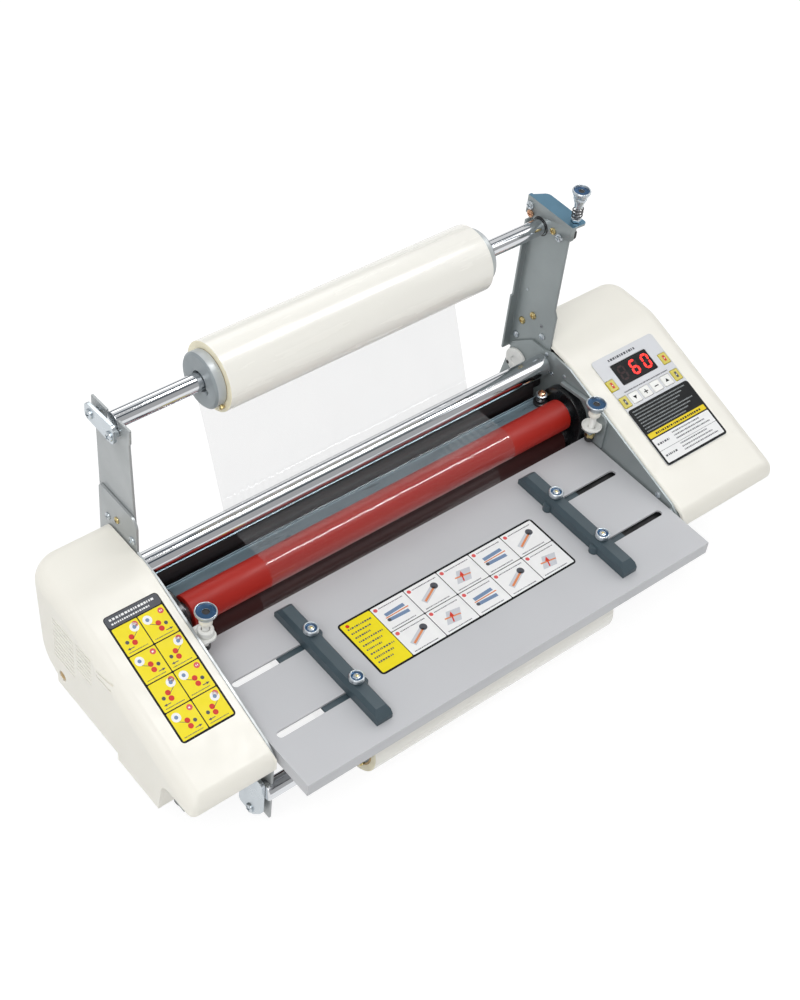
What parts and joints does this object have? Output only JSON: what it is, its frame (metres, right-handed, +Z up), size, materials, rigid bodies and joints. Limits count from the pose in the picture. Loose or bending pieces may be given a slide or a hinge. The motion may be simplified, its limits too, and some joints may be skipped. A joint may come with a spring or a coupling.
{
  "type": "roll laminator",
  "caption": "Desktop roll laminator with upper and lower film rolls, red silicone nip rollers, a feed table with sliding edge guides and a control panel.",
  "frame": {"origin": "middle of the footprint box, on the surface that the feet stand on", "axes": "+Z up, +X to the operator's right along the rollers, +Y away from the operator"},
  "size_m": [0.5918, 0.264, 0.306],
  "materials": {
    "ivory_plastic": "fine-grained moulded ivory plastic",
    "frame_paint": "grey painted sheet steel",
    "table_paint": "light grey fine-textured paint",
    "zinc_plate": "bright zinc plate with a blue tint",
    "black_plastic": "black moulded plastic",
    "white_plastic": "white moulded plastic",
    "yellow_plastic": "yellow key caps",
    "slate_plastic": "dark blue-grey moulded plastic",
    "foot_rubber": "black rubber feet",
    "label_film": "printed membrane overlay",
    "display_black": "dark display window with red digits",
    "gear_steel": "turned steel",
    "red_silicone": "smooth red silicone rubber",
    "black_rubber": "black rubber",
    "chrome_bar": "polished chrome bar",
    "film_roll": "wound laminating film, cream at the cut ends",
    "clear_film": "clear laminating film"
  },
  "bodies": {
    "machine": {"left_cover": "ivory_plastic", "right_cover": "ivory_plastic", "base_pan": "frame_paint", "rear_cover": "frame_paint", "rear_bar": "frame_paint", "heat_shield": "frame_paint", "left_upright": "frame_paint", "right_upright": "frame_paint", "left_side_frame": "frame_paint", "right_side_frame": "frame_paint", "feed_table": "table_paint", "clamp_bracket": "zinc_plate", "upper_keeper_plate": "zinc_plate", "lower_keeper_plate": "zinc_plate", "left_bearing_block": "black_plastic", "right_bearing_block": "black_plastic", "power_inlet": "black_plastic", "left_pressure_bracket": "white_plastic", "right_pressure_bracket": "white_plastic", "left_front_foot": "foot_rubber", "left_back_foot": "foot_rubber", "right_front_foot": "foot_rubber", "right_back_foot": "foot_rubber", "control_overlay": "label_film", "display_board": "display_black", "drive_motor": "gear_steel", "drive_belt": "black_rubber", "upper_film_web": "clear_film", "lower_film_web": "clear_film"},
    "upper_roller": {"upper_roller_sleeve": "red_silicone", "upper_roller_shaft": "gear_steel"},
    "lower_roller": {"lower_roller_sleeve": "red_silicone", "lower_roller_shaft": "gear_steel"},
    "upper_pull": {"upper_pull_roller": "black_rubber"},
    "lower_pull": {"lower_pull_roller": "black_rubber"},
    "upper_idler_bar": {"upper_idler": "chrome_bar"},
    "lower_idler_bar": {"lower_idler": "chrome_bar"},
    "upper_supply": {"upper_supply_shaft": "chrome_bar", "upper_film_roll": "film_roll"},
    "lower_supply": {"lower_supply_shaft": "chrome_bar", "lower_film_roll": "film_roll"},
    "pinion": {"motor_pinion": "gear_steel"},
    "left_guide_bar": {"left_guide": "slate_plastic"},
    "right_guide_bar": {"right_guide": "slate_plastic"},
    "left_front_nut": {"left_front_guide_knob": "zinc_plate"},
    "left_back_nut": {"left_back_guide_knob": "zinc_plate"},
    "right_front_nut": {"right_front_guide_knob": "zinc_plate"},
    "right_back_nut": {"right_back_guide_knob": "zinc_plate"},
    "left_pressure": {"left_pressure_knob": "zinc_plate"},
    "right_pressure": {"right_pressure_knob": "zinc_plate"},
    "tension": {"tension_knob": "zinc_plate"},
    "rocker": {"power_switch": "black_plastic"},
    "key_speed_down_cap": {"key_speed_down": "white_plastic"},
    "key_plus_cap": {"key_plus": "white_plastic"},
    "key_minus_cap": {"key_minus": "white_plastic"},
    "key_speed_up_cap": {"key_speed_up": "white_plastic"},
    "key_upper_left_cap": {"key_upper_left": "yellow_plastic"},
    "key_lower_left_cap": {"key_lower_left": "yellow_plastic"},
    "key_upper_right_cap": {"key_upper_right": "yellow_plastic"},
    "key_lower_right_cap": {"key_lower_right": "yellow_plastic"}
  },
  "joints": [
    {"name": "upper_roller_spin", "type": "hinge", "parent": "machine", "child": "upper_roller", "pos_m": [0, 0.03495, 0.1106], "axis": [1, 0, 0], "continuous": true},
    {"name": "lower_roller_spin", "type": "hinge", "parent": "machine", "child": "lower_roller", "pos_m": [0, 0.03495, 0.0828], "axis": [1, 0, 0], "continuous": true},
    {"name": "upper_pull_spin", "type": "hinge", "parent": "machine", "child": "upper_pull", "pos_m": [0, 0.07995, 0.1092], "axis": [1, 0, 0], "continuous": true},
    {"name": "lower_pull_spin", "type": "hinge", "parent": "machine", "child": "lower_pull", "pos_m": [0, 0.07995, 0.0842], "axis": [1, 0, 0], "continuous": true},
    {"name": "upper_idler_spin", "type": "hinge", "parent": "machine", "child": "upper_idler_bar", "pos_m": [0, 0.07345, 0.132], "axis": [1, 0, 0], "continuous": true},
    {"name": "lower_idler_spin", "type": "hinge", "parent": "machine", "child": "lower_idler_bar", "pos_m": [0, 0.06295, 0.044], "axis": [1, 0, 0], "continuous": true},
    {"name": "upper_supply_spin", "type": "hinge", "parent": "machine", "child": "upper_supply", "pos_m": [0, 0.10455, 0.2564], "axis": [1, 0, 0], "continuous": true},
    {"name": "lower_supply_spin", "type": "hinge", "parent": "machine", "child": "lower_supply", "pos_m": [0, -0.09405, 0.05], "axis": [1, 0, 0], "continuous": true},
    {"name": "pinion_spin", "type": "hinge", "parent": "machine", "child": "pinion", "pos_m": [0, 0.01545, 0.07296], "axis": [1, 0, 0], "continuous": true},
    {"name": "left_guide_slide", "type": "slide", "parent": "machine", "child": "left_guide_bar", "axis": [-1, 0, 0], "range_m": [0, 0.045]},
    {"name": "right_guide_slide", "type": "slide", "parent": "machine", "child": "right_guide_bar", "axis": [1, 0, 0], "range_m": [0, 0.045]},
    {"name": "left_front_nut_turn", "type": "hinge", "parent": "left_guide_bar", "child": "left_front_nut", "pos_m": [-0.1425, -0.08565, 0.11], "axis": [0, 0, 1], "range_deg": [0, 180]},
    {"name": "left_back_nut_turn", "type": "hinge", "parent": "left_guide_bar", "child": "left_back_nut", "pos_m": [-0.1425, -0.03135, 0.11], "axis": [0, 0, 1], "range_deg": [0, 180]},
    {"name": "right_front_nut_turn", "type": "hinge", "parent": "right_guide_bar", "child": "right_front_nut", "pos_m": [0.1025, -0.08565, 0.11], "axis": [0, 0, 1], "range_deg": [0, 180]},
    {"name": "right_back_nut_turn", "type": "hinge", "parent": "right_guide_bar", "child": "right_back_nut", "pos_m": [0.1025, -0.03135, 0.11], "axis": [0, 0, 1], "range_deg": [0, 180]},
    {"name": "left_pressure_turn", "type": "hinge", "parent": "machine", "child": "left_pressure", "pos_m": [-0.2122, 0.00295, 0.126], "axis": [0, 0, 1], "range_deg": [-180, 180]},
    {"name": "right_pressure_turn", "type": "hinge", "parent": "machine", "child": "right_pressure", "pos_m": [0.1722, 0.00295, 0.126], "axis": [0, 0, 1], "range_deg": [-180, 180]},
    {"name": "tension_turn", "type": "hinge", "parent": "machine", "child": "tension", "pos_m": [0.189, 0.07695, 0.286], "axis": [0, 0, 1], "range_deg": [-180, 180]},
    {"name": "power_rocker", "type": "hinge", "parent": "machine", "child": "rocker", "pos_m": [0.2572, 0.10945, 0.106], "axis": [0, 0, 1], "range_deg": [0, 10]},
    {"name": "key_speed_down_press", "type": "slide", "parent": "machine", "child": "key_speed_down_cap", "axis": [0, 0.3253, -0.9456], "range_m": [0, 0.0005], "stiffness_N_per_m": 400},
    {"name": "key_plus_press", "type": "slide", "parent": "machine", "child": "key_plus_cap", "axis": [0, 0.3253, -0.9456], "range_m": [0, 0.0005], "stiffness_N_per_m": 400},
    {"name": "key_minus_press", "type": "slide", "parent": "machine", "child": "key_minus_cap", "axis": [0, 0.3253, -0.9456], "range_m": [0, 0.0005], "stiffness_N_per_m": 400},
    {"name": "key_speed_up_press", "type": "slide", "parent": "machine", "child": "key_speed_up_cap", "axis": [0, 0.3253, -0.9456], "range_m": [0, 0.0005], "stiffness_N_per_m": 400},
    {"name": "key_upper_left_press", "type": "slide", "parent": "machine", "child": "key_upper_left_cap", "axis": [0, 0.3253, -0.9456], "range_m": [0, 0.0005], "stiffness_N_per_m": 400},
    {"name": "key_lower_left_press", "type": "slide", "parent": "machine", "child": "key_lower_left_cap", "axis": [0, 0.3253, -0.9456], "range_m": [0, 0.0005], "stiffness_N_per_m": 400},
    {"name": "key_upper_right_press", "type": "slide", "parent": "machine", "child": "key_upper_right_cap", "axis": [0, 0.3253, -0.9456], "range_m": [0, 0.0005], "stiffness_N_per_m": 400},
    {"name": "key_lower_right_press", "type": "slide", "parent": "machine", "child": "key_lower_right_cap", "axis": [0, 0.3253, -0.9456], "range_m": [0, 0.0005], "stiffness_N_per_m": 400}
  ],
  "couplings": [
    {"joint": "lower_roller_spin", "follows": "upper_roller_spin", "ratio": -1},
    {"joint": "upper_pull_spin", "follows": "upper_roller_spin", "ratio": 1.1167},
    {"joint": "lower_pull_spin", "follows": "upper_roller_spin", "ratio": -1.1167},
    {"joint": "upper_idler_spin", "follows": "upper_roller_spin", "ratio": -1.4105},
    {"joint": "lower_idler_spin", "follows": "upper_roller_spin", "ratio": 1.4105},
    {"joint": "upper_supply_spin", "follows": "upper_roller_spin", "ratio": -0.48727},
    {"joint": "lower_supply_spin", "follows": "upper_roller_spin", "ratio": 0.4963},
    {"joint": "pinion_spin", "follows": "upper_roller_spin", "ratio": 1.75}
  ]
}
